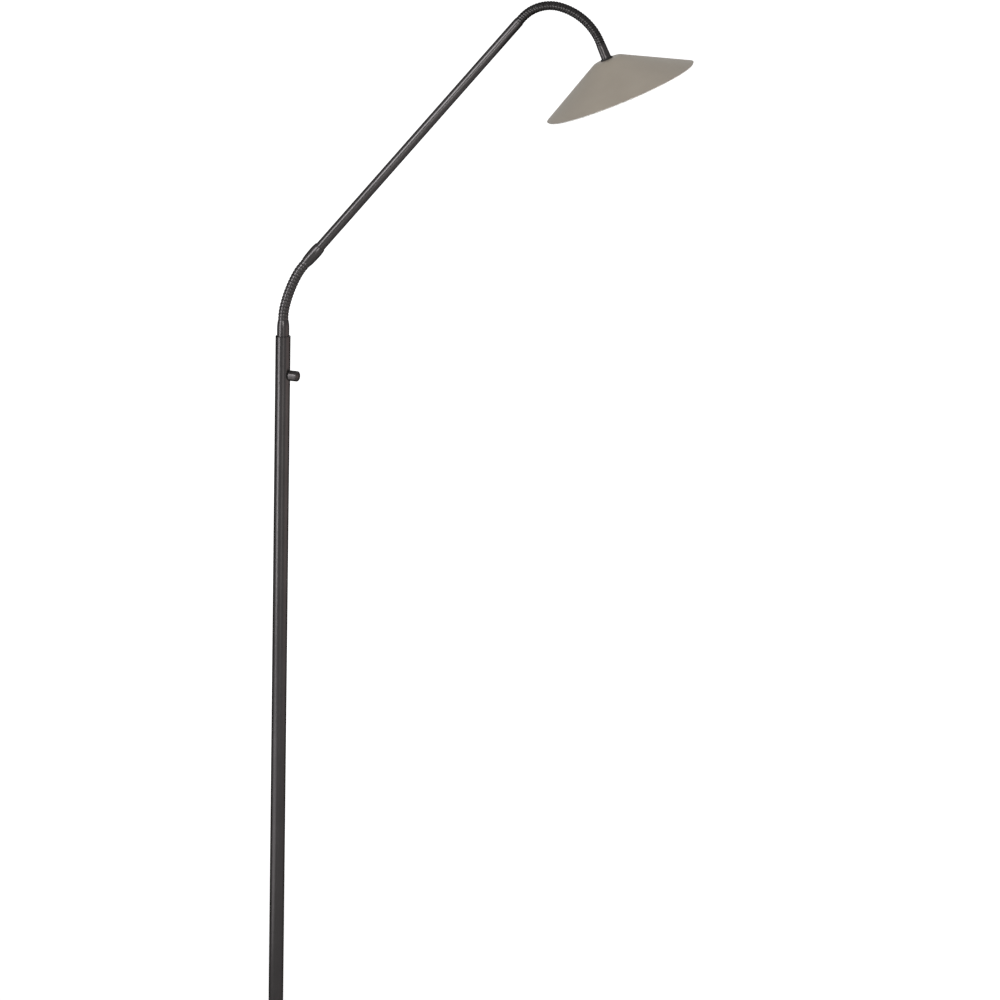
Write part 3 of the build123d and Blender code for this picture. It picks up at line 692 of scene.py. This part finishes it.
# a panel gives gloss when it only shows in the coats, and shade when it only falls on them
# lowPanel faces up, and its aim is a hair off upright so that its long side has a heading
lampValues = {
    "leftPanel": {"place": (-2.1, -1.36, 1.0), "aim": (0, 0, 0.9), "size": (1.15, 1.95), "power": 77,
                  "colour": (0.98, 0.985, 1), "gives": "gloss"},
    "highPanel": {"place": (-1.45, -1.7, 2.2), "aim": (0.12, 0, 1.33), "size": (1.3, 0.9), "power": 55,
                  "colour": (0.98, 0.985, 1), "gives": "gloss"},
    "lowPanel": {"place": (-1.2, -0.8, 0.01), "aim": (-1.2, -0.799, 1), "size": (1.4, 1.3), "power": 16,
                 "colour": (0.98, 0.985, 1), "gives": "gloss"},
    "ringPanel": {"place": (0.15, -2.6, 1.35), "aim": (0.2, 0, 1.4), "size": (0.9, 0.6), "power": 26,
                  "colour": (1, 0.99, 0.97), "gives": "gloss"},
    "frontPanel": {"place": (0.6, -2.5, 0.42), "aim": (0, 0, 0.42), "size": (0.9, 0.8), "power": 5.2,
                   "colour": (1, 0.97, 0.93), "gives": "gloss"},
    "rightPanel": {"place": (2.5, 0, 0.5), "aim": (0, 0, 0.5), "size": (3.4, 1.0), "power": 15,
                   "colour": (1, 0.74, 0.68), "gives": "both"},
    "keyPanel": {"place": (0.05, -2.3, 2.6), "aim": (0.3, 0, 1.4), "size": (1.2, 0.9), "power": 58,
                 "colour": (1, 0.99, 0.97), "gives": "shade"},
}


def seenDirectly(tree, y=700):
    # 1 for what the camera sees, and for what shows in glossy and clear surfaces
    light = addNode(tree, "LightPath", -400, y)
    first = addNode(tree, "Math", -200, y, operation="MAXIMUM")
    second = addNode(tree, "Math", 0, y, operation="MAXIMUM")
    tree.links.new(light.outputs["Is Camera Ray"], first.inputs[0])
    tree.links.new(light.outputs["Is Glossy Ray"], first.inputs[1])
    tree.links.new(first.outputs["Value"], second.inputs[0])
    tree.links.new(light.outputs["Is Transmission Ray"], second.inputs[1])
    return second.outputs["Value"]


def makeFloor(values):
    # white paper that glows only where it is seen, less round the foot, so that the foot keeps its shadow
    shape = bmesh.new()
    segments = values["segments"]
    bmesh.ops.create_grid(shape, x_segments=segments, y_segments=segments, size=values["size"] / 2)
    mesh = bpy.data.meshes.new("floor")
    shape.to_mesh(mesh)
    shape.free()
    floor = bpy.data.objects.new("floor", mesh)
    scene.collection.objects.link(floor)
    material, tree, shader = newMaterial("floorPaper")
    grain = noise(tree, values["grain"], y=-200)
    shade = tuple(part * values["shade"] for part in values["colour"])
    tree.links.new(mixed(tree, ranged(tree, grain.outputs["Fac"], 0, 1), shade, values["colour"]),
                   shader.inputs["Base Color"])
    setShader(shader, Roughness=values["roughness"], Specular_IOR_Level=values["specular"],
              Emission_Color=(1, 1, 1, 1))
    place = addNode(tree, "TexCoord", -600, 1000)
    distance = addNode(tree, "VectorMath", -400, 1000, operation="LENGTH")
    glow = addNode(tree, "MapRange", -200, 1000, interpolation_type="SMOOTHSTEP")
    for key, value in (("From Min", values["nearDistance"]), ("From Max", values["farDistance"]),
                       ("To Min", values["nearGlow"]), ("To Max", values["farGlow"])):
        glow.inputs[key].default_value = value
    strength = addNode(tree, "Math", 300, 900, operation="MULTIPLY")
    tree.links.new(place.outputs["Object"], distance.inputs[0])
    tree.links.new(distance.outputs["Value"], glow.inputs["Value"])
    tree.links.new(glow.outputs["Result"], strength.inputs[0])
    tree.links.new(seenDirectly(tree), strength.inputs[1])
    tree.links.new(strength.outputs["Value"], shader.inputs["Emission Strength"])
    mesh.materials.append(material)


def makeWorld(values):
    world = bpy.data.worlds.new("studio")
    scene.world = world
    world.use_nodes = True
    tree = world.node_tree
    tree.nodes.clear()
    output = addNode(tree, "OutputWorld", 600)
    background = addNode(tree, "Background", 400)
    background.inputs["Color"].default_value = (1, 1, 1, 1)
    strength = addNode(tree, "MapRange", 200)
    strength.inputs["To Min"].default_value = values["worldLight"]
    strength.inputs["To Max"].default_value = values["worldSeen"]
    tree.links.new(seenDirectly(tree), strength.inputs["Value"])
    tree.links.new(strength.outputs["Result"], background.inputs["Strength"])
    tree.links.new(background.outputs["Background"], output.inputs["Surface"])


def makeLamp(name, values):
    data = bpy.data.lights.new(name, "AREA")
    data.shape = "RECTANGLE"
    data.size, data.size_y = values["size"]
    data.energy = values["power"]
    data.color = values["colour"]
    lamp = bpy.data.objects.new(name, data)
    place = Vector(values["place"])
    turned = (Vector(values["aim"]) - place).to_track_quat("-Z", "Y").to_matrix()
    lamp.matrix_world = Matrix.Translation(place) @ turned.to_4x4()
    lamp.visible_camera = False
    lamp.visible_diffuse = values["gives"] != "gloss"
    lamp.visible_glossy = values["gives"] != "shade"
    scene.collection.objects.link(lamp)


makeFloor(stageValues)
makeWorld(stageValues)
for name, values in lampValues.items():
    makeLamp(name, values)
print("studio set")
